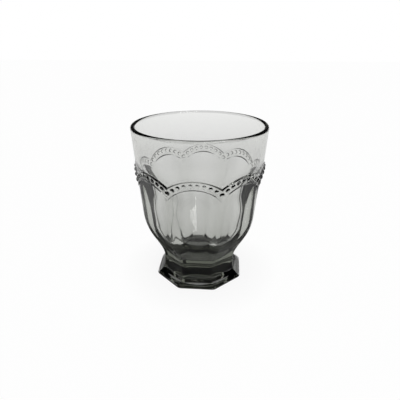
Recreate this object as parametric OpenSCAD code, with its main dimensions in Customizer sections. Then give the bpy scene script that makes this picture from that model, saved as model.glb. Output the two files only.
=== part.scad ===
// Footed pressed-glass tumbler with arch-topped panels and a beaded scalloped band.
// Millimetres, +Z up, origin at the centre of the foot's underside, a panel faces -Y.
// The glass is drawn as the regions that its mould gives it, each seated on the next.

/* [Overall] */
// Height from the table to the top of the rim
glass_h = 100; // [94:1:110]
// Outside diameter at the rim
rim_d = 82; // [79:1:88]

/* [Rim and wall] */
// Thickness of the wall at the rim
rim_wall = 2.6; // [2.2:0.1:3.2]
// Height of the fire-polished lip
lip_h = 3; // [2:0.5:6]
// Height down to which the wall stays as thin as at the rim, as a share of the glass
thin_share = 0.76; // [0.73:0.01:0.77]

/* [Bowl] */
// Height at which the bowl's curve runs into the straight upper wall, as a share of the glass
shoulder_share = 0.47; // [0.44:0.005:0.5]
// Outside radius over the ridges at the shoulder
shoulder_r = 36.8; // [35.8:0.2:38]
// Depth of a panel's middle below the ridges at the shoulder
panel_depth = 2.35; // [2:0.05:2.6]
// Depth of a panel's middle below the wall at the top of its arch
panel_top_depth = 1.7; // [1.2:0.1:2]
// How far below the shoulder the curve of a panel's face runs out straight
panel_drop = 1; // [0.5:0.5:3]
// Height of the upper part of the bowl's curve, below the shoulder
shoulder_sweep = 17; // [13:0.5:20]
// Height of the lower part of the bowl's curve, above the neck
neck_sweep = 10.5; // [8:0.5:13]
// How far the lower part of the bowl's curve leans outwards
neck_lean = 1.2; // [0:0.1:2.5]

/* [Inside] */
// Height of the inside floor's middle above the table
floor_z = 15.5; // [14:0.5:18]
// How far the floor rises from its middle to its edge
floor_rise = 1; // [0:0.1:3]
// Radius of the inside floor
floor_r = 14; // [8:0.5:15]
// How far the foot of the steep inside wall stands in from the radius at the shoulder
heel_in = 7.6; // [6.5:0.1:9]
// Height of the foot of the steep inside wall, as a share of the glass
heel_share = 0.36; // [0.34:0.005:0.42]
// How far the top of the steep inside wall stands in from the radius at the shoulder
waist_in = 5.2; // [4:0.1:5.6]
// Height of the top of the steep inside wall, as a share of the glass
waist_share = 0.59; // [0.56:0.01:0.62]
// How far the rounding of the floor's edge reaches from the corner
floor_ease = 4.5; // [1:0.5:6]
// How far the rounding at the foot of the steep wall reaches from the corner
heel_ease = 5.5; // [1:0.5:8]
// How far the rounding at the top of the steep wall reaches from the corner
waist_ease = 5; // [1:0.5:8]
// How far the rounding where the thin wall begins reaches from the corner
thin_ease = 5; // [1:0.5:6]

/* [Scalloped band] */
// Height of the centre on which every arch is struck, as a share of the glass
arch_share = 0.544; // [0.52:0.004:0.56]
// Radius of an arch's lower edge
arch_r = 18.2; // [17.6:0.1:19.2]
// Width of the band, from its lower to its upper edge
band_w = 5.5; // [4.6:0.1:6.4]
// How far the band stands out of the wall
band_h = 0.6; // [0.4:0.05:1]
// Width of the rounded corner along each of the band's edges
band_edge_w = 0.5; // [0.3:0.05:0.8]

/* [Beads] */
// Number of beads from one cusp of the band to the next
beads_per_arch = 9; // [7:1:10]
// Diameter of a bead where it meets the band
bead_d = 2.4; // [1.8:0.1:2.6]
// How far a bead stands out of the band
bead_h = 0.75; // [0.5:0.05:0.95]

/* [Collar] */
// Height of the upright octagonal collar
collar_h = 5.2; // [4:0.2:7]
// Width of the collar across its flats
collar_flats = 45.1; // [43:0.1:47]
// How far a ridge of the bowl stands in from the collar's corner
ridge_step = 0.2; // [0.1:0.05:0.4]

/* [Foot] */
// Height of the foot, from the table to the collar
foot_h = 8.3; // [7:0.1:9.5]
// Width of the foot across its flats
foot_flats = 55.2; // [53:0.2:57]
// Height of the foot's outer edge
foot_edge_h = 1; // [0.6:0.1:1.8]
// How much the foot's corners are rounded off, along the diagonal
foot_corner = 0.35; // [0.2:0.05:0.6]
// Radius of the shallow round hollow under the foot
hollow_r = 23.5; // [21:0.5:25]
// Depth of the hollow at its middle
hollow_depth = 2.5; // [1:0.1:3.5]

/* [Hidden] */
panels = 8;
pitch = 360 / panels;
half = pitch / 2;
front_turn = -90;
curve_steps = 12;
turn_steps = 6;
face_steps = 11;
arch_steps = 18;
$fn = 96;
overrun = 4;
band_margin = 1.9;
band_seat = 0.02;

rim_r = rim_d / 2;
lip_r = rim_wall / 2;
lip_centre_z = glass_h - lip_r;
lip_z = glass_h - lip_h;
collar_a = collar_flats / 2;
collar_r = collar_a / cos(half);
foot_a = foot_flats / 2;
foot_r = foot_a / cos(half);
neck_z = foot_h + collar_h;
shoulder_z = glass_h * shoulder_share;
arch_z = glass_h * arch_share;
neck_r = collar_r - ridge_step;
wall_slope = (rim_r - shoulder_r) / (lip_centre_z - shoulder_z);
arch_top_z = arch_z + arch_r;
bowl_top_z = arch_top_z + band_w + band_margin;
reach = rim_r + overrun;

// Outside and inside radius of the straight upper wall at a height
function wall_r(z) = shoulder_r + wall_slope * (z - shoulder_z);
function cup_wall_r(z) = wall_r(z) - rim_wall;

// Point at share t of a cubic curve with four control points
function bezier(p, t) =
    pow(1 - t, 3) * p[0] + 3 * t * pow(1 - t, 2) * p[1] + 3 * t * t * (1 - t) * p[2] + pow(t, 3) * p[3];
function curve(p, steps) = [for (i = [0:steps]) bezier(p, i / steps)];

// The bowl's curve from the neck up to the point top, over the ridges or down the panels
function bowl_curve(neck, top, steps) = curve([
    [neck, neck_z],
    [neck + neck_lean, neck_z + neck_sweep],
    top - shoulder_sweep * [wall_slope, 1],
    top
], steps);

// Parabola that rounds off the corner b of the path a-b-c, beginning and ending ease away,
// or half way along the shorter side where that is less
function rounded(a, b, c, ease) =
    let (way = min(ease, norm(a - b) / 2, norm(c - b) / 2))
        let (start = b + (a - b) * way / norm(a - b), end = b + (c - b) * way / norm(c - b))
            [for (i = [0:turn_steps]) let (t = i / turn_steps) pow(1 - t, 2) * start + 2 * t * (1 - t) * b + t * t * end];

// The inside from the middle of the floor up to the thin upper wall: the floor, the sloping
// heel and the steep wall, with the corners between them rounded
cup_stops = [
    [0, floor_z],
    [floor_r, floor_z + floor_rise],
    [shoulder_r - heel_in, glass_h * heel_share],
    [shoulder_r - waist_in, glass_h * waist_share],
    [cup_wall_r(glass_h * thin_share), glass_h * thin_share],
    [cup_wall_r(bowl_top_z), bowl_top_z]
];
cup_eases = [floor_ease, heel_ease, waist_ease, thin_ease];
cup_path = concat(
    [cup_stops[0]],
    [for (i = [0:len(cup_eases) - 1]) each rounded(cup_stops[i], cup_stops[i + 1], cup_stops[i + 2], cup_eases[i])],
    [cup_stops[len(cup_eases) + 1]]
);

// Height of a point on an arch of radius rho, at angle a from the panel's middle,
// standing h out of the wall: the arch is a circle seen straight on to the panel
function arch_point_z(rho, a, h, turns = 5, z = arch_top_z) =
    turns == 0 ? z : arch_point_z(rho, a, h, turns - 1, arch_z + sqrt(pow(rho, 2) - pow((wall_r(z) + h) * sin(a), 2)));

// Places a shape drawn in the radial plane x-z so that it faces out along panel k
module at_panel(k) {
    rotate([0, 0, k * pitch + front_turn]) children();
}

// Extrudes a flat drawing of radius and height straight across the whole glass
module across() {
    rotate([90, 0, 0]) linear_extrude(height = 2 * reach, center = true) children();
}

// Extrudes a flat drawing of width and height outwards from the axis
module outwards() {
    rotate([90, 0, 90]) linear_extrude(height = reach) children();
}

// Fire-polished lip: the top of the wall, rounded over by reheating
module rim() {
    color([0.40, 0.42, 0.41, 0.6])
    rotate_extrude() {
        polygon([
            [cup_wall_r(lip_z), lip_z],
            [wall_r(lip_z), lip_z],
            [rim_r, lip_centre_z],
            [rim_r - rim_wall, lip_centre_z]
        ]);
        translate([rim_r - lip_r, lip_centre_z]) circle(r = lip_r);
    }
}

// Plain upper wall between the band and the lip
module upper_wall() {
    color([0.55, 0.57, 0.56, 0.6])
    rotate_extrude() polygon([
        [cup_wall_r(bowl_top_z), bowl_top_z],
        [wall_r(bowl_top_z), bowl_top_z],
        [wall_r(lip_z), lip_z],
        [cup_wall_r(lip_z), lip_z]
    ]);
}

// Everything that is taken away for one panel: all that lies outside the panel's face,
// seen straight on through an arch-topped door
module panel_cut() {
    face_top_z = shoulder_z - panel_drop;
    face_top = [wall_r(face_top_z) - panel_depth, face_top_z];
    top = [wall_r(arch_top_z) - panel_top_depth, arch_top_z];
    lift = (top - face_top) / (arch_top_z - face_top_z);
    intersection() {
        across() polygon(concat(
            [[reach, neck_z - overrun], [collar_a, neck_z - overrun]],
            bowl_curve(collar_a, face_top, face_steps),
            [top + lift * overrun, [reach, arch_top_z + overrun]]
        ));
        outwards() {
            translate([0, arch_z]) circle(r = arch_r);
            translate([-arch_r, neck_z - 2 * overrun]) square([2 * arch_r, arch_z - neck_z + 2 * overrun]);
        }
    }
}

// The panelled cup, from the collar to just above the band, with its inside and its floor
module panelled_bowl() {
    outside = bowl_curve(neck_r, [shoulder_r, shoulder_z], curve_steps);
    color([0.45, 0.47, 0.46, 0.6])
    difference() {
        rotate_extrude() polygon(concat(
            [[0, neck_z]],
            outside,
            [[wall_r(bowl_top_z), bowl_top_z]],
            [for (i = [len(cup_path) - 1:-1:0]) cup_path[i]]
        ));
        for (k = [0:panels - 1]) at_panel(k) panel_cut();
    }
}

// Section of the band as [distance up from its lower edge, height above the wall]:
// flat, with a rounded corner along each edge
corner_shares = [[0, 0.35], [0.12, 0.65], [0.4, 0.9], [1, 1]];
band_corner = [for (p = corner_shares) [p[0] * band_edge_w, p[1] * band_h]];
band_section = concat(
    [[0, band_seat]],
    band_corner,
    [for (i = [len(band_corner) - 1:-1:0]) [band_w - band_corner[i][0], band_corner[i][1]]],
    [[band_w, band_seat]]
);

// One station of the band: its section in the upright plane at angle a, where b is the
// angle from the middle of the arch that a lies in
function band_station(a, b) = [
    for (p = band_section)
        let (z = arch_point_z(arch_r + p[0], b, p[1]), r = wall_r(z) + p[1])
            [r * cos(a), r * sin(a), z]
];

// Raised band: the section swept along the scallops, right round and back to its start
module scalloped_band() {
    stations = panels * arch_steps;
    n = len(band_section);
    points = [
        for (k = [0:panels - 1], i = [0:arch_steps - 1])
            let (b = (i / arch_steps - 0.5) * pitch)
                each band_station(k * pitch + front_turn + b, b)
    ];
    faces = [
        for (s = [0:stations - 1], i = [0:n - 1])
            let (a = s * n, b = ((s + 1) % stations) * n, j = (i + 1) % n)
                each [[a + i, a + j, b + i], [a + j, b + j, b + i]]
    ];
    color([0.34, 0.36, 0.35, 0.8]) polyhedron(points = points, faces = faces);
}

// One bead: a low round cap with its foot on the plane z = 0
module bead() {
    bead_r = (pow(bead_d / 2, 2) + pow(bead_h, 2)) / (2 * bead_h);
    rotate_extrude() intersection() {
        translate([0, bead_h - bead_r]) circle(r = bead_r);
        square([bead_d, bead_h]);
    }
}

// Row of beads sitting square on the flat of the band, spaced evenly along its middle,
// with one on every cusp
module band_beads() {
    seat = band_h + band_seat;
    rho = arch_r + band_w / 2;
    cusp_z = arch_point_z(rho, half, seat);
    cusp_a = acos((cusp_z - arch_z) / rho);
    color([0.28, 0.30, 0.29, 0.8])
    for (k = [0:panels - 1], i = [0:beads_per_arch - 1]) {
        a = cusp_a * (2 * i / beads_per_arch - 1);
        z = arch_z + rho * cos(a);
        at_panel(k) rotate([0, 0, asin(rho * sin(a) / (wall_r(z) + seat))])
            translate([wall_r(z) + seat, 0, z]) rotate([0, 90 + atan(wall_slope), 0]) bead();
    }
}

// Upright octagonal collar between the bowl and the foot
module collar() {
    color([0.36, 0.38, 0.37, 0.7])
    translate([0, 0, foot_h]) rotate([0, 0, half]) cylinder(r = collar_r, h = collar_h, $fn = panels);
}

// Half section of the foot across its flats: a thin edge and a concave flare that
// starts upright under the collar
module foot_section() {
    run = foot_a - collar_a;
    rise = foot_h - foot_edge_h;
    flare_r = (pow(run, 2) + pow(rise, 2)) / (2 * run);
    difference() {
        square([foot_a, foot_h]);
        translate([collar_a + flare_r, foot_h]) circle(r = flare_r);
    }
}

// Flared octagonal foot with blunted corners and a shallow dished hollow underneath
module foot() {
    dish_r = (pow(hollow_r, 2) + pow(hollow_depth, 2)) / (2 * hollow_depth);
    color([0.30, 0.32, 0.31, 0.7])
    difference() {
        intersection() {
            cylinder(r = foot_r - foot_corner, h = foot_h);
            intersection_for (k = [0:panels / 2 - 1]) foot_slab(k);
        }
        translate([0, 0, hollow_depth - dish_r]) sphere(r = dish_r);
    }
}

// The foot as two opposite flats leave it: the half section and its mirror image
module foot_slab(k) {
    at_panel(k) across() {
        foot_section();
        mirror([1, 0]) foot_section();
    }
}

rim();
upper_wall();
panelled_bowl();
scalloped_band();
band_beads();
collar();
foot();
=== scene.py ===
import math

import bpy
import numpy as np
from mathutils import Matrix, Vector


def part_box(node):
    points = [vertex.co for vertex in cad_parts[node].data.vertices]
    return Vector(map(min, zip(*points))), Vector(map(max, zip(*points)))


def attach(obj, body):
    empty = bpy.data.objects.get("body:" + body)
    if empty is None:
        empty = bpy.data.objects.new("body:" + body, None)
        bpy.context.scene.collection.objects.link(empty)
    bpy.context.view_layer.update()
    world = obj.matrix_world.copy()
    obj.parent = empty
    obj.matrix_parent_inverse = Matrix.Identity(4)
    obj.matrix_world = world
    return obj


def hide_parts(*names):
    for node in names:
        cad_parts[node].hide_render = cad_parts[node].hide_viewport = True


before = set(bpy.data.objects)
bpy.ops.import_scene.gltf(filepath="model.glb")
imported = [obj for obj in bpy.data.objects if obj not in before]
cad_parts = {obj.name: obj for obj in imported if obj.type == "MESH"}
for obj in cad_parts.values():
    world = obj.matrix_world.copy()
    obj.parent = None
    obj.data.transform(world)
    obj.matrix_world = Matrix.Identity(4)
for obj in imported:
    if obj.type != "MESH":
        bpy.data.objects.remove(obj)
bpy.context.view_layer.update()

# The foot: the flared octagonal base that the glass stands on, pressed in the bottom of
# the mould and fire-polished. It has a thin edge, a concave flare up to the collar and a
# shallow round hollow underneath, so that the glass rests on a ring.
MM = 0.001  # the glass's sizes are in millimetres, up to round_points
PANELS = 8
HALF_PANEL = math.pi / PANELS
COLUMNS = 40
FINE = 3
EDGE_PULL = 7
GUARD = 0.05


def corners_mm(node):
    """Lowest and highest corner of a CAD node, in millimetres."""
    low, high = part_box(node)
    return np.array(low) / MM, np.array(high) / MM


def columns(count):
    """Angles of one panel's columns, from its left ridge: u + u (1 - |u|^m) / m times half
    a panel, for u from -1 to 1, which closes the columns up towards both ridges."""
    u = np.arange(count) * 2 / count - 1
    return HALF_PANEL * (u + u * (1 - np.abs(u) ** EDGE_PULL) / EDGE_PULL)


def soft_min(a, b, width):
    """The smaller of a and b, with the corner between them eased over the given width."""
    share = np.clip(0.5 + 0.5 * (b - a) / width, 0, 1)
    return b * (1 - share) + a * share - width * share * (1 - share)


def octagon(flat, corner, soft, angle):
    """Radius at an angle of an octagon whose sides lie at the distance flat from the axis,
    cut off at the radius corner and eased there."""
    return soft_min(flat / np.cos(angle), corner, soft)


def grid(radius, height, angle):
    """Rows of points (radius, height) over all the columns, as one array."""
    shape = np.broadcast_shapes(np.shape(radius), np.shape(height), (1, len(angle)))
    return np.stack([np.broadcast_to(radius, shape), np.broadcast_to(height, shape)], -1)


def soft_path(stops, eases, angle, turns=4):
    """Rows along a path of straight runs. Each stop is a row of points, and each stop but
    the first and last is turned by a parabola that begins and ends its ease in mm away,
    with a row just outside it at either end to keep the runs flat."""
    stops = [grid(np.atleast_2d(r), np.atleast_2d(h), angle)[0] for r, h in stops]
    rows = [stops[0]]
    t = np.linspace(0, 1, turns + 1)[:, None, None]
    eases = np.broadcast_to(eases, len(stops) - 2)
    for before, stop, after, ease in zip(stops, stops[1:], stops[2:], eases):
        back, ahead = before - stop, after - stop
        back /= np.linalg.norm(back, axis=-1, keepdims=True)
        ahead /= np.linalg.norm(ahead, axis=-1, keepdims=True)
        start, end = stop + back * ease, stop + ahead * ease
        rows.append(start + back * GUARD)
        rows.extend((1 - t) ** 2 * start + 2 * t * (1 - t) * stop + t**2 * end)
        rows.append(end + ahead * GUARD)
    return np.array(rows + [stops[-1]])


angle = columns(COLUMNS)
fine_angle = columns(FINE * COLUMNS)

foot_flat = corners_mm("foot")[1][0]
collar_flat = corners_mm("collar")[1][0]
collar_low = corners_mm("collar")[0][2]
neck_z = corners_mm("collar")[1][2]
foot_edge_h = 1.0
foot_corner = 0.35
foot_ease = 0.3
corner_ease = 0.25
corner_blunt = 0.1
hollow_r = 23.5
hollow_depth = 2.5
hollow_rows = 10
hollow_share = 0.97
flare_rows = 14
flare_pull = 0.8


def foot_outline(flat):
    """The foot's octagon at a height where its sides lie at the distance flat."""
    tip = flat / math.cos(HALF_PANEL) - corner_blunt
    widest = foot_flat / math.cos(HALF_PANEL) - foot_corner
    return octagon(flat, np.minimum(tip, widest), corner_ease, angle)


def hollow_surface(share):
    """The dish under the foot: a sphere's cap, from its middle to a share of its radius."""
    ball = (hollow_r**2 + hollow_depth**2) / (2 * hollow_depth)
    radius = share[:, None] * hollow_r
    return grid(radius, hollow_depth - ball + np.sqrt(ball**2 - radius**2), angle)


def flare_surface(share):
    """The concave flare: a circle's arc that starts at the foot's edge and ends upright
    under the collar, carried round the octagon."""
    run, rise = foot_flat - collar_flat, collar_low - foot_edge_h
    arc = (run**2 + rise**2) / (2 * run)
    turn = math.asin(rise / arc) * (1 - share[:, None])
    flat = collar_flat + arc * (1 - np.cos(turn))
    return grid(foot_outline(flat), collar_low - arc * np.sin(turn), angle)


hollow = hollow_surface(np.linspace(0, hollow_share, hollow_rows))
flare = flare_surface(np.linspace(0, 1, flare_rows) ** flare_pull)
foot_edge = soft_path(
    [
        (hollow[-1, :, 0], hollow[-1, :, 1]),
        (hollow_r, 0),
        (foot_outline(foot_flat), 0),
        (foot_outline(foot_flat), foot_edge_h),
        (flare[1, :, 0], flare[1, :, 1]),
    ],
    foot_ease,
    angle,
)
foot = np.concatenate([hollow[:-1], foot_edge, flare[2:]])

# The collar: the upright octagonal block between the foot and the bowl, solid glass, with
# a crease at its top where the bowl's panels start to lean outwards.
collar_rows = 5
collar_z = np.linspace(collar_low, neck_z, collar_rows)[1:-1, None]
collar = grid(foot_outline(collar_flat), collar_z, angle)

# The panelled bowl: the lower part of the cup, with eight flat panels that curve in to
# the collar, ridges between them, and an arch at the top of each panel. The mould gives
# it this outside; the ridges are a little blunt from the fire polishing.
rim_low, rim_high = corners_mm("rim")
rim_r = rim_high[0]
glass_h = rim_high[2]
rim_wall = 2.8
wall_growth = 0.02
lip_h = rim_high[2] - rim_low[2]
lip_r = 1.3
shoulder_z = 47.0
shoulder_r = 36.8
panel_depth = 2.35
panel_top_depth = 1.7
panel_drop = 1.0
panel_rows = 33
shoulder_sweep = 17.0
neck_sweep = 10.5
neck_lean = 1.2
ridge_step = 0.2
ridge_ease = 0.35
arch_z = 54.4
arch_r = 18.2
arch_margin = 0.3
arch_turns = 6
wall_slope = (rim_r - shoulder_r) / (glass_h - lip_r - shoulder_z)


def wall_r(z):
    """Outside radius of the straight upper wall at a height."""
    return shoulder_r + wall_slope * (z - shoulder_z)


def curve(points, steps=160):
    """A cubic curve with four control points, as rows of (radius, height)."""
    t = np.linspace(0, 1, steps)[:, None]
    a, b, c, d = np.array(points, float)
    return (1 - t) ** 3 * a + 3 * t * (1 - t) ** 2 * b + 3 * t**2 * (1 - t) * c + t**3 * d


def bowl_curve(neck, top):
    """The bowl's upright curve from the neck, leaning outwards, to its top point, where it
    has the wall's slope."""
    return curve(
        [
            (neck, neck_z),
            (neck + neck_lean, neck_z + neck_sweep),
            np.array(top) - shoulder_sweep * np.array([wall_slope, 1]),
            top,
        ]
    )


panel_foot_z = shoulder_z - panel_drop
arch_top_z = arch_z + arch_r
ridge_foot = collar_flat / math.cos(HALF_PANEL) - ridge_step
ridge_curve = np.vstack(
    [
        bowl_curve(ridge_foot, (shoulder_r, shoulder_z)),
        (wall_r(glass_h), glass_h),
    ]
)
panel_curve = np.vstack(
    [
        bowl_curve(collar_flat, (wall_r(panel_foot_z) - panel_depth, panel_foot_z)),
        (wall_r(arch_top_z) - panel_top_depth, arch_top_z),
    ]
)


def bowl_surface(angle, z):
    """Radius of the bowl: the panel's flat face over the cosine of the angle, or the round
    ridge where that is smaller, with the edge between them eased."""
    flat = np.interp(z, panel_curve[:, 1], panel_curve[:, 0]) / np.cos(angle)
    return soft_min(flat, np.interp(z, ridge_curve[:, 1], ridge_curve[:, 0]), ridge_ease)


def bowl_rows(angle, z):
    """Rows of points on the bowl at the given heights."""
    return np.stack([bowl_surface(angle, z), z], -1)


def arch_height(rho, angle, out=0.0):
    """Height of an arch of radius rho at an angle from the panel's middle: a circle seen
    straight on, drawn on a wall that leans outwards, so the two are solved in turns."""
    z = arch_top_z
    for _ in range(arch_turns):
        across = (wall_r(z) + out) * np.sin(angle)
        z = arch_z + np.sqrt(np.maximum(rho**2 - across**2, 0))
    return z


panel_share = np.linspace(0, 1, panel_rows)[:, None]
panel_z = neck_z + (arch_height(arch_r - arch_margin, angle) - neck_z) * panel_share
panels = bowl_rows(angle, panel_z)

# The scalloped band: a raised strap that follows the arches right round the glass, with
# soft edges and a row of round beads along its middle, all pressed by the mould in one
# with the wall. Under it a level ledge, as deep as the panel, leads back to the panel.
band_w = 5.5
band_h = 0.6
band_eases = (0.15, 0.45)
strap_turns = 4
flat_rows = 21
edge_w = 0.9
edge_h = 0.02
ledge_w = -0.04
ledge_h = 2.0
bead_d = 2.4
bead_h = 0.75
beads_per_arch = 9
cusp_share = 0.8


def strap_rows(stops):
    """Rows across the band: each stop is (distance up from the arch's lower edge, height
    out of the wall), and the corners between are eased. Gives both for every row."""
    path = soft_path(stops, band_eases, np.zeros(1), strap_turns)[:, 0]
    return path[:, :1], path[:, 1:]


def band_point(rise, out, angle):
    """Radius and height of the point that lies a rise above the arch's lower edge and
    stands out of the wall."""
    z = arch_height(arch_r + rise, angle, out)
    return wall_r(z) + out, z


def bead_relief(rise, angle):
    """Height of the beads over the strap: domes along the band's middle arch, spaced
    evenly, each a circle's cap that fades to nothing at its edge."""
    rho = arch_r + band_w / 2
    cusp = math.asin(wall_r(arch_z + rho * cusp_share) * math.sin(HALF_PANEL) / rho)
    z = arch_height(arch_r + rise, angle, band_h)
    along = np.arctan2((wall_r(z) + band_h) * np.sin(angle), z - arch_z)
    pitch = 2 * cusp / beads_per_arch
    phase = along / pitch - 0.5
    side = (phase - np.round(phase)) * pitch * rho
    near = 1 - (side**2 + (rise - band_w / 2) ** 2) / (bead_d / 2) ** 2
    return bead_h * np.sqrt(np.clip(near, 0, 1))


rise, out = strap_rows(
    [(0.0, -ledge_h), (ledge_w, band_h), (band_w - edge_w, band_h), (band_w, edge_h)]
)

# The strap's flat is one long run at first, from the last row of its lower corner, which
# comes after the path's start, a guard row and the corner's turns, to the first row of its
# upper corner. It gets the rows that its beads need.
run_start = strap_turns + 3
run_end = run_start + 1
flat_rise = np.linspace(rise[run_start, 0], rise[run_end, 0], flat_rows)[1:-1, None]
run = slice(run_start, run_end + 1)
flat_out = np.interp(flat_rise, rise[run, 0], out[run, 0])
rise = np.vstack([rise[:run_end], flat_rise, rise[run_end:]])
out = np.vstack([out[:run_end], flat_out, out[run_end:]])
out = out + bead_relief(rise, fine_angle)
band_r, band_z = band_point(rise, out, fine_angle)
strap = np.stack([np.maximum(band_r, bowl_surface(fine_angle, band_z)), band_z], -1)
ledge_share = np.array([0.02, 0.07, 0.5, 0.93])[:, None, None]
ledge = strap[0] * (1 - ledge_share) + strap[1] * ledge_share
band = np.concatenate([strap[:1], ledge, strap[1:]])

# The last rows of the panels, which close up to the ledge in the fine columns.
margin = bowl_rows(fine_angle, arch_height(arch_r - arch_margin, fine_angle))
below = bowl_rows(fine_angle, arch_height(arch_r - arch_margin - GUARD * 3, fine_angle))
margin_share = np.array([0, 0.06, 0.35, 0.65, 0.94])[:, None, None]
panel_heads = np.concatenate([below[None], margin * (1 - margin_share) + band[0] * margin_share])

# The upper wall and the lip: plain, slightly flaring glass above the band, shaped outside
# by the mould and inside by the plunger, with the rim rounded over by the flame.
upper_share = np.array([0.004, 0.012, 0.3, 0.65, 0.96])[:, None]
lip_rows = 14
lip_guard = 0.3
top_edge_z = band[-1, :, 1]
upper_z = top_edge_z + (glass_h - lip_h - top_edge_z) * upper_share
upper_wall = grid(wall_r(upper_z), upper_z, fine_angle)
lip_turn = np.linspace(0, math.pi, lip_rows)[1:-1, None]
lip_z = np.array([[glass_h - lip_h], [glass_h - lip_r - lip_guard], [glass_h - lip_r]])
lip_round = grid(
    rim_r - rim_wall / 2 * (1 - np.cos(lip_turn)), glass_h - lip_r + lip_r * np.sin(lip_turn), angle
)
lip = np.concatenate([grid(wall_r(lip_z), lip_z, angle), lip_round])

# The inside: the smooth round hollow that the plunger leaves, straight down the wall,
# then in a deep curve to a small flat floor above the thick base.
floor_z = 15.5
floor_rise = 1.0
floor_r = 14.0
heel_in = 7.6
heel_share = 0.36
waist_in = 5.2
waist_share = 0.59
thin_share = 0.76
cup_eases = (5.0, 5.0, 5.5, 4.5)
cup_turns = 12
cup_rows = 60


def cup_surface():
    """The inside from the lip down to the middle of the floor: thin wall, steep wall, heel
    and floor with the corners rounded, in evenly spaced rows, turned round the axis."""
    thin_z = glass_h * thin_share
    stops = [
        (rim_r - rim_wall, glass_h - lip_r),
        (wall_r(thin_z) - rim_wall + wall_growth * (glass_h - lip_r - thin_z), thin_z),
        (shoulder_r - waist_in, glass_h * waist_share),
        (shoulder_r - heel_in, glass_h * heel_share),
        (floor_r, floor_z + floor_rise),
        (0, floor_z),
    ]
    line = soft_path(stops, cup_eases, np.zeros(1), cup_turns)[:, 0]
    length = np.concatenate([[0], np.cumsum(np.hypot(*np.diff(line, axis=0).T))])
    evenly = np.linspace(0, length[-1], cup_rows)[1:]
    at = np.concatenate([[0, GUARD, 3 * GUARD], evenly])
    radius, height = (np.interp(at, length, line[:, i])[:, None] for i in (0, 1))
    return grid(radius, height, angle)


inside = cup_surface()


# The tumbler: one continuous piece of pressed soda-lime glass, so all the parts above are
# one closed skin with glass all through it. It stands for every node of the frame.
def round_points(rows, angle):
    """Rows of (radius, height) for one panel, repeated round the glass, as points."""
    turn = np.concatenate([angle + 2 * HALF_PANEL * k for k in range(PANELS)])
    radius, height = (np.tile(rows[..., i], (1, PANELS)) for i in (0, 1))
    return np.stack([radius * np.sin(turn), -radius * np.cos(turn), height], -1) * MM


def skin(blocks):
    """Points and faces of a closed skin made of blocks of rows, each (rows, angles). Rows
    with equal columns are joined by quads, a row with three times the columns of its
    neighbour, which is FINE, by six-sided faces, and the end rows close to a point."""
    points, numbers, count = [], [], 0
    for rows, turn in blocks:
        ring = round_points(rows, turn)
        points.append(ring.reshape(-1, 3))
        numbers.extend(count + np.arange(ring.shape[0] * ring.shape[1]).reshape(ring.shape[:2]))
        count += ring.shape[0] * ring.shape[1]
    faces = []
    for low, high in zip(numbers[1:-1], numbers[2:-1]):
        a, b, c, d = low, np.roll(low, -1), high, np.roll(high, -1)
        if len(low) == len(high):
            faces += np.stack([a, b, d, c], -1).tolist()
        elif len(high) > len(low):
            x, y, z = high.reshape(-1, FINE).T
            faces += np.stack([a, b, np.roll(x, -1), z, y, x], -1).tolist()
        else:
            x, y, z = low.reshape(-1, FINE).T
            faces += np.stack([x, y, z, np.roll(x, -1), d, c], -1).tolist()
    first, ring = numbers[0][0], numbers[1]
    faces += [[first, b, a] for a, b in zip(ring.tolist(), np.roll(ring, -1).tolist())]
    last, ring = numbers[-1][0], numbers[-2]
    faces += [[a, b, last] for a, b in zip(ring.tolist(), np.roll(ring, -1).tolist())]
    return np.concatenate(points), faces


def make_piece(name, points, faces):
    """A smooth-shaded mesh object from points and faces, without unused points."""
    used = np.unique(np.concatenate([np.array(f) for f in faces]))
    place = np.full(len(points), -1)
    place[used] = np.arange(len(used))
    mesh = bpy.data.meshes.new(name)
    mesh.from_pydata(points[used].tolist(), [], [place[f].tolist() for f in faces])
    mesh.polygons.foreach_set("use_smooth", np.ones(len(faces), bool))
    piece = bpy.data.objects.new(name, mesh)
    bpy.context.scene.collection.objects.link(piece)
    return piece


def linear(hex_colour):
    """An sRGB hex colour as the linear RGBA that Blender's sockets take."""
    srgb = np.array([int(hex_colour[i : i + 2], 16) for i in (0, 2, 4)]) / 255
    rgb = np.where(srgb <= 0.04045, srgb / 12.92, ((srgb + 0.055) / 1.055) ** 2.4)
    return (*rgb.tolist(), 1.0)


def node(tree, kind, inputs=None, **settings):
    """Adds a node with its own settings and fills its inputs, given by name or number: a
    socket is linked to the input, anything else becomes the input's value."""
    made = tree.nodes.new(kind)
    for key, value in settings.items():
        setattr(made, key, value)
    for key, value in (inputs or {}).items():
        if isinstance(value, bpy.types.NodeSocket):
            tree.links.new(value, made.inputs[key])
        else:
            made.inputs[key].default_value = value
    return made


wave_w = 14.0
wave_h = 0.02
wave_detail = 1.0
wave_roughness = 0.4
glass_ior = 1.52
glass_tint = "cfd1cb"
tint_density = 110.0


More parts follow.
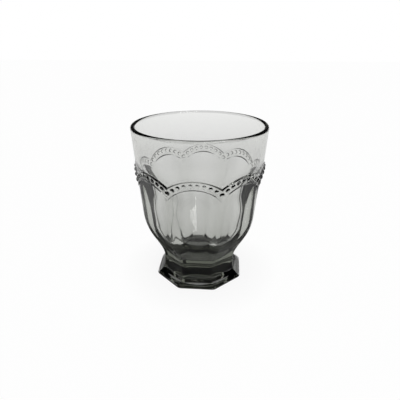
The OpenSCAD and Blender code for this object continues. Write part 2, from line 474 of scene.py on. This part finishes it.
def smoke_glass():
    """Smoke-grey soda-lime glass, pressed and fire-polished: clear, glossy and tinted all
    through, so it darkens with thickness. The mould's skin leaves a faint waviness."""
    material = bpy.data.materials.new("smoke_grey_pressed_glass")
    material.use_nodes = True
    tree = material.node_tree
    tree.nodes.clear()
    place = node(tree, "ShaderNodeTexCoord")
    wave = node(
        tree,
        "ShaderNodeTexNoise",
        {
            "Vector": place.outputs["Object"],
            "Scale": 1 / (wave_w * MM),
            "Detail": wave_detail,
            "Roughness": wave_roughness,
        },
    )
    bump = node(
        tree,
        "ShaderNodeBump",
        {"Height": wave.outputs[0], "Strength": 1.0, "Distance": wave_h * MM},
    )
    glass = node(
        tree,
        "ShaderNodeBsdfPrincipled",
        {
            "Base Color": linear("ffffff"),
            "Roughness": 0.0,
            "IOR": glass_ior,
            "Transmission Weight": 1.0,
            "Normal": bump.outputs[0],
        },
    )
    tint = node(
        tree,
        "ShaderNodeVolumeAbsorption",
        {"Color": linear(glass_tint), "Density": tint_density},
    )
    node(
        tree,
        "ShaderNodeOutputMaterial",
        {"Surface": glass.outputs[0], "Volume": tint.outputs[0]},
    )
    return material


outer_low = np.concatenate([foot, collar, panels[:-1]])
outer_band = np.concatenate([panel_heads, band, upper_wall])
outer_high = np.concatenate([lip, inside])
points, faces = skin([(outer_low, angle), (outer_band, fine_angle), (outer_high, angle)])
tumbler = make_piece("tumbler", points, faces)
tumbler.data.materials.append(smoke_glass())
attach(tumbler, "root")
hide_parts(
    "rim", "upper_wall", "panelled_bowl", "scalloped_band", "band_beads", "collar", "foot"
)


# The floor: a matt white sheet under the glass. It keeps the lamp's faint real shadow, and to
# the eye it also has a painted shadow: a ring round the foot painted darker. Through the glass
# the foot's print has painted shade and the sheet is painted darker towards the glass, and the
# glass's outer faces mirror its glow only from a little way off, so near the glass they show
# painted shade.
# The shares below paint shade on the floor by its distance from the glass's axis.
print_r = 0.029  # the floor's radii are in metres, from the glass's axis
print_edge = 0.0015
print_painted_shade_share = 0.2
painted_shade_near_r = 0.26
painted_shade_far_r = 0.6
painted_shade_near_share = 0.72
painted_shade_far_share = 0.95
mirror_painted_shade_near_r = 0.06
mirror_painted_shade_far_r = 0.11
painted_shadow_r = 0.055
painted_shadow_share = 0.08
open_share = 0.015
floor_half = 2.0
floor_drop = 0.05 * MM
sheet_paint = "f4f4f4"


def pale_floor():
    """Matt white paint that also shines. To the eye it shines all but the painted shadow's
    share, which fades outwards: a painted shadow round the foot. Through glass it shines by
    the print's share in the foot's print and from the near to the far share outside it, which
    is painted shade, darkest at the glass; mirrored it fades in outwards, painted shade near the
    glass."""
    material = bpy.data.materials.new("matt_white_sheet_painted_shade")
    material.use_nodes = True
    tree = material.node_tree
    tree.nodes.clear()
    ray = node(tree, "ShaderNodeLightPath")
    place = node(tree, "ShaderNodeTexCoord")
    radius = node(
        tree, "ShaderNodeVectorMath", {"Vector": place.outputs["Object"]}, operation="LENGTH"
    ).outputs["Value"]

    def fade(start, end, low, high):
        """A share that goes from low at the radius start to high at the radius end."""
        limits = {"From Min": start, "From Max": end, "To Min": low, "To Max": high}
        return node(tree, "ShaderNodeMapRange", {"Value": radius, **limits}).outputs["Result"]

    def join(operation, a, b):
        """Two shares put together by an operation."""
        return node(tree, "ShaderNodeMath", {0: a, 1: b}, operation=operation).outputs[0]

    # Painted shadow: to the eye the glow share is lower near the foot, so a ring round it is
    # painted darker, over the paint's faint real shadow.
    eye_share_with_painted_shadow = fade(print_r, painted_shadow_r, 1 - painted_shadow_share, 1 - open_share)
    # Painted shade: through the glass the foot's print glows only by its small share, so the floor
    # under the foot is painted dark.
    near = fade(print_r - print_edge, print_r, print_painted_shade_share, 1)
    # Painted shade: through the glass the glow share falls towards the glass, so the floor is
    # painted darker near it.
    through_painted_shade = fade(painted_shade_near_r, painted_shade_far_r, painted_shade_near_share, painted_shade_far_share)
    through_with_painted_shade = join("MULTIPLY", near, through_painted_shade)
    # Painted shade in reflections: the glass's faces mirror no glow from the floor near the glass,
    # only the dimly lit paint.
    mirror_painted_shade = fade(mirror_painted_shade_near_r, mirror_painted_shade_far_r, 0, 1)
    mirrored = join("MULTIPLY", ray.outputs["Is Glossy Ray"], mirror_painted_shade)
    other = join("MAXIMUM", ray.outputs["Is Transmission Ray"], mirrored)
    other = join("MULTIPLY", other, through_with_painted_shade)
    share = node(
        tree, "ShaderNodeMix", {"Factor": ray.outputs["Is Camera Ray"], "A": other, "B": eye_share_with_painted_shadow}
    )
    paint = node(tree, "ShaderNodeBsdfDiffuse", {"Color": linear(sheet_paint)})
    shine = node(tree, "ShaderNodeEmission", {"Color": linear("ffffff"), "Strength": 1.0})
    both = node(
        tree,
        "ShaderNodeMixShader",
        {"Fac": share.outputs["Result"], 1: paint.outputs[0], 2: shine.outputs[0]},
    )
    node(tree, "ShaderNodeOutputMaterial", {"Surface": both.outputs[0]})
    return material


corners = np.array([(-1, -1), (1, -1), (1, 1), (-1, 1)]) * floor_half
floor_mesh = bpy.data.meshes.new("floor")
floor_mesh.from_pydata([(x, y, -floor_drop) for x, y in corners.tolist()], [], [(0, 1, 2, 3)])
floor = bpy.data.objects.new("floor", floor_mesh)
bpy.context.scene.collection.objects.link(floor)
floor_mesh.materials.append(pale_floor())

# The room: white to the eye. The glass shows a white surround at the horizon and a dark
# one above, which draws its edges, as when glass is shot against a lit sheet.
sky_tones = [(0.0, "ffffff"), (0.02, "ffffff"), (0.06, "303030"), (1.0, "101010")]

world = bpy.data.worlds.new("surround")
bpy.context.scene.world = world
world.use_nodes = True
sky = world.node_tree
sky.nodes.clear()
place = node(sky, "ShaderNodeTexCoord")
split = node(sky, "ShaderNodeSeparateXYZ", {"Vector": place.outputs["Generated"]})
ramp = node(sky, "ShaderNodeValToRGB", {"Fac": split.outputs["Z"]})
while len(ramp.color_ramp.elements) < len(sky_tones):
    ramp.color_ramp.elements.new(0.5)
for element, (height, tone) in zip(ramp.color_ramp.elements, sky_tones):
    element.position = height
    element.color = linear(tone)
ray = node(sky, "ShaderNodeLightPath")
seen = node(
    sky,
    "ShaderNodeMix",
    {"Factor": ray.outputs["Is Camera Ray"], "A": ramp.outputs["Color"], "B": linear("ffffff")},
    data_type="RGBA",
)
glow = node(sky, "ShaderNodeBackground", {"Color": seen.outputs["Result"], "Strength": 1.0})
node(sky, "ShaderNodeOutputWorld", {"Surface": glow.outputs[0]})

# The lamp: one soft box in front of the glass, higher than the camera and to its right,
# turned to the foot. It stands for the window that the photograph's glass mirrors.
lamp_at = (0.35, -0.5, 0.8)
lamp_size = (0.5, 0.2)
lamp_watts = 2.0
lamp_data = bpy.data.lights.new("softbox", "AREA")
lamp_data.shape = "RECTANGLE"
lamp_data.size, lamp_data.size_y = lamp_size
lamp_data.energy = lamp_watts
lamp = bpy.data.objects.new("softbox", lamp_data)
bpy.context.scene.collection.objects.link(lamp)
lamp.location = lamp_at
lamp.rotation_euler = Vector(lamp_at).to_track_quat("Z", "Y").to_euler()

# The camera: as far off and as high as the photograph's, turned a little to the right
# of the front panel's middle.
camera_turn = math.radians(4.484)
camera_pitch = math.radians(24.557)
camera_distance = 247.24 * MM
aim_z = 47.15 * MM
focal_px = 378.98
frame_px = 400
shift_px = (0.315, 4.092)
sensor_w = 36
clip_near = 0.01

camera_data = bpy.data.cameras.new("camera")
camera = bpy.data.objects.new("camera", camera_data)
bpy.context.scene.collection.objects.link(camera)
away = camera_distance * math.cos(camera_pitch)
camera.location = (
    away * math.sin(camera_turn),
    -away * math.cos(camera_turn),
    aim_z + camera_distance * math.sin(camera_pitch),
)
camera.rotation_euler = (math.pi / 2 - camera_pitch, 0, camera_turn)
camera_data.sensor_width = sensor_w
camera_data.lens = focal_px / frame_px * camera_data.sensor_width
camera_data.shift_x, camera_data.shift_y = (px / frame_px for px in shift_px)
camera_data.clip_start = clip_near
bpy.context.scene.camera = camera
bpy.context.scene.view_settings.view_transform = "Standard"
